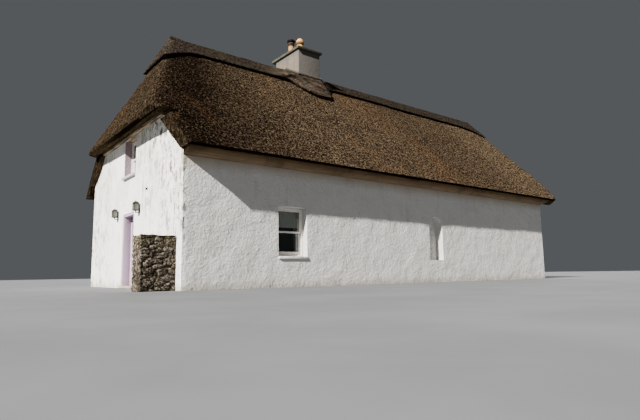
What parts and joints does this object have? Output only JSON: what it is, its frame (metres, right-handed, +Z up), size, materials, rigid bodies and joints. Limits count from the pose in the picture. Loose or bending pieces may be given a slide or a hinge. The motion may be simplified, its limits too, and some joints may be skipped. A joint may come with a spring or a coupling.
{
  "type": "thatched cottage",
  "caption": "Limewashed stone cottage with a half-hipped reed roof and raised ridge cap, gable door that swings inwards, sash windows, chimney, wall lanterns and a rubble pier.",
  "frame": {"origin": "on the ground, at the middle of the walls' plan, on the underside of the ground floor", "axes": "+X along the house from the door gable to the plain gable, +Y from the front wall to the rear wall, +Z up"},
  "size_m": [15.89, 8.245, 8.4309],
  "materials": {
    "limewash": "limewashed rough plaster over rubble masonry",
    "floor_concrete": "trowelled concrete",
    "rubble_stone": "rough rubble stone with pale mortar",
    "chimney_render": "weathered grey render",
    "rough_timber": "sawn timber",
    "pale_timber": "weathered pale timber",
    "reed": "cut reed thatch",
    "sedge": "wrapped sedge thatch",
    "terracotta": "fired clay",
    "cream_clay": "fired cream clay",
    "dark_metal": "blackened",
    "white_joinery": "gloss paint",
    "window_glass": "clear float glass",
    "linen": "plain woven",
    "lavender_joinery": "satin paint",
    "lantern_metal": "weathered metal",
    "lantern_glass": "clear glass",
    "mortar": "lime mortar fillet"
  },
  "bodies": {
    "house": {"front_wall": "limewash", "rear_wall": "limewash", "gable_wall_beside_door_front": "limewash", "gable_wall_beside_door_rear": "limewash", "gable_wall_over_door": "limewash", "plain_gable_wall": "limewash", "ground_floor": "floor_concrete", "chimney_slab": "floor_concrete", "front_window_sill": "floor_concrete", "gable_window_sill": "floor_concrete", "stone_pier": "rubble_stone", "door_threshold": "rubble_stone", "chimney_stack": "chimney_render", "loft_floor": "rough_timber", "roof_frame": "rough_timber", "front_soffit_board": "rough_timber", "rear_soffit_board": "rough_timber", "gable_wall_plate": "pale_timber", "front_thatch": "reed", "rear_thatch": "reed", "hip_thatch": "reed", "ridge_cap": "sedge", "chimney_pot_rear": "terracotta", "chimney_pot_front": "cream_clay", "chimney_cowl": "dark_metal", "gable_tie_boss": "dark_metal", "front_window_frame": "white_joinery", "front_window_upper_sash": "white_joinery", "front_window_lower_sash": "white_joinery", "gable_window_frame": "white_joinery", "gable_window_upper_sash": "white_joinery", "gable_window_lower_sash": "white_joinery", "rear_window_right_frame": "white_joinery", "rear_window_left_frame": "white_joinery", "front_window_upper_glass": "window_glass", "front_window_lower_glass": "window_glass", "gable_window_upper_glass": "window_glass", "gable_window_lower_glass": "window_glass", "rear_window_right_glass": "window_glass", "rear_window_left_glass": "window_glass", "front_window_blind": "linen", "gable_window_curtain": "linen", "door_frame": "lavender_joinery", "lantern_left_body": "lantern_metal", "lantern_right_body": "lantern_metal", "lantern_left_glass": "lantern_glass", "lantern_right_glass": "lantern_glass", "chimney_flaunching": "mortar"},
    "door": {"door_leaf": "lavender_joinery", "door_glass": "window_glass", "door_handle": "dark_metal"}
  },
  "joints": [
    {"name": "door_hinge", "type": "hinge", "parent": "house", "child": "door", "pos_m": [-6.891, 0.4115, 0.06], "axis": [0, 0, 1], "range_deg": [0, 90]}
  ]
}
